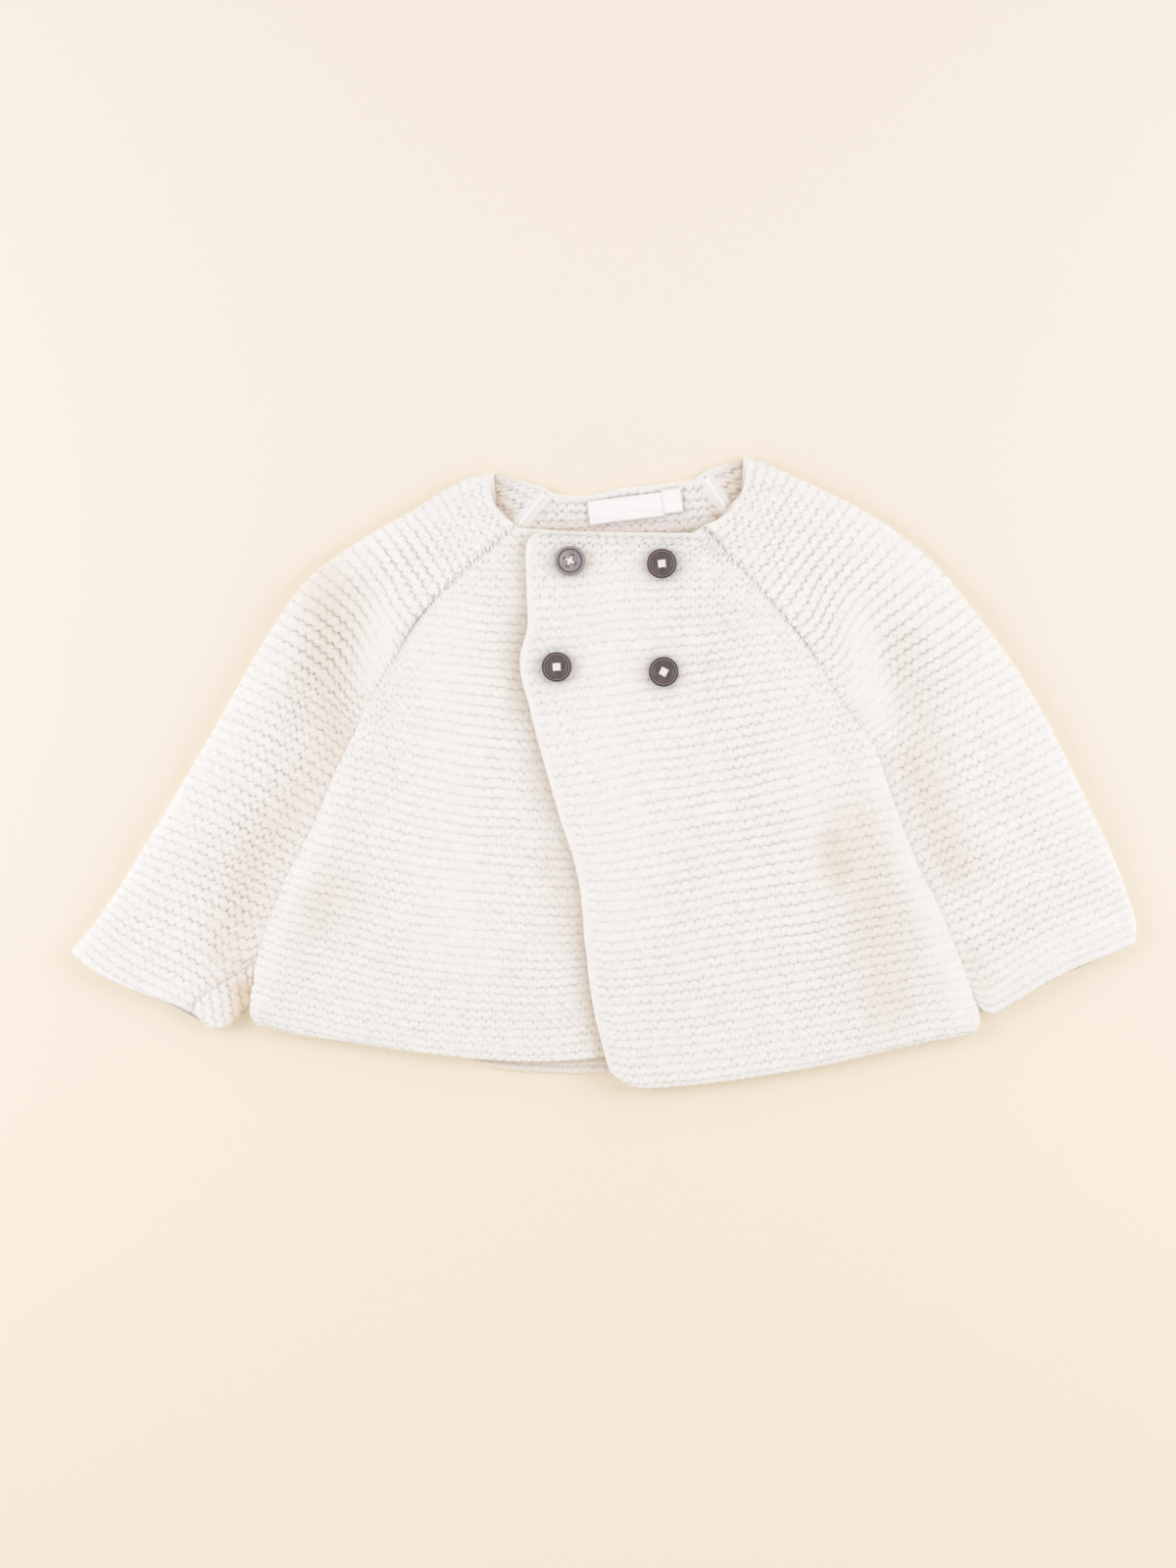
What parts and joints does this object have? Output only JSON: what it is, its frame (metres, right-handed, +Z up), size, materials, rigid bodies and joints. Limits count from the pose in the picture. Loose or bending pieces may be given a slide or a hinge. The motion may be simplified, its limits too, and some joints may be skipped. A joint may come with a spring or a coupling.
{
  "type": "baby cardigan",
  "caption": "Raglan-sleeved baby cardigan in cream garter-stitch knit, double-breasted with buttons, lying flat on its back.",
  "frame": {"origin": "on the surface that the cardigan lies on, under the middle of its bounding box", "axes": "+Z up from the surface, +Y towards the neck, +X towards the wearer's left"},
  "size_m": [0.4574, 0.2716, 0.0126],
  "materials": {
    "knit": "matte soft wool-like yarn",
    "ribbon": "smooth woven ribbon",
    "button": "semi-gloss"
  },
  "bodies": {
    "root": {"back": "knit", "front_left": "knit", "front_right": "knit", "sleeve_left": "knit", "sleeve_right": "knit", "label": "ribbon", "size_tab": "ribbon", "button_upper_left": "button", "button_upper_right": "button", "button_lower_left": "button", "button_lower_right": "button"}
  },
  "joints": []
}
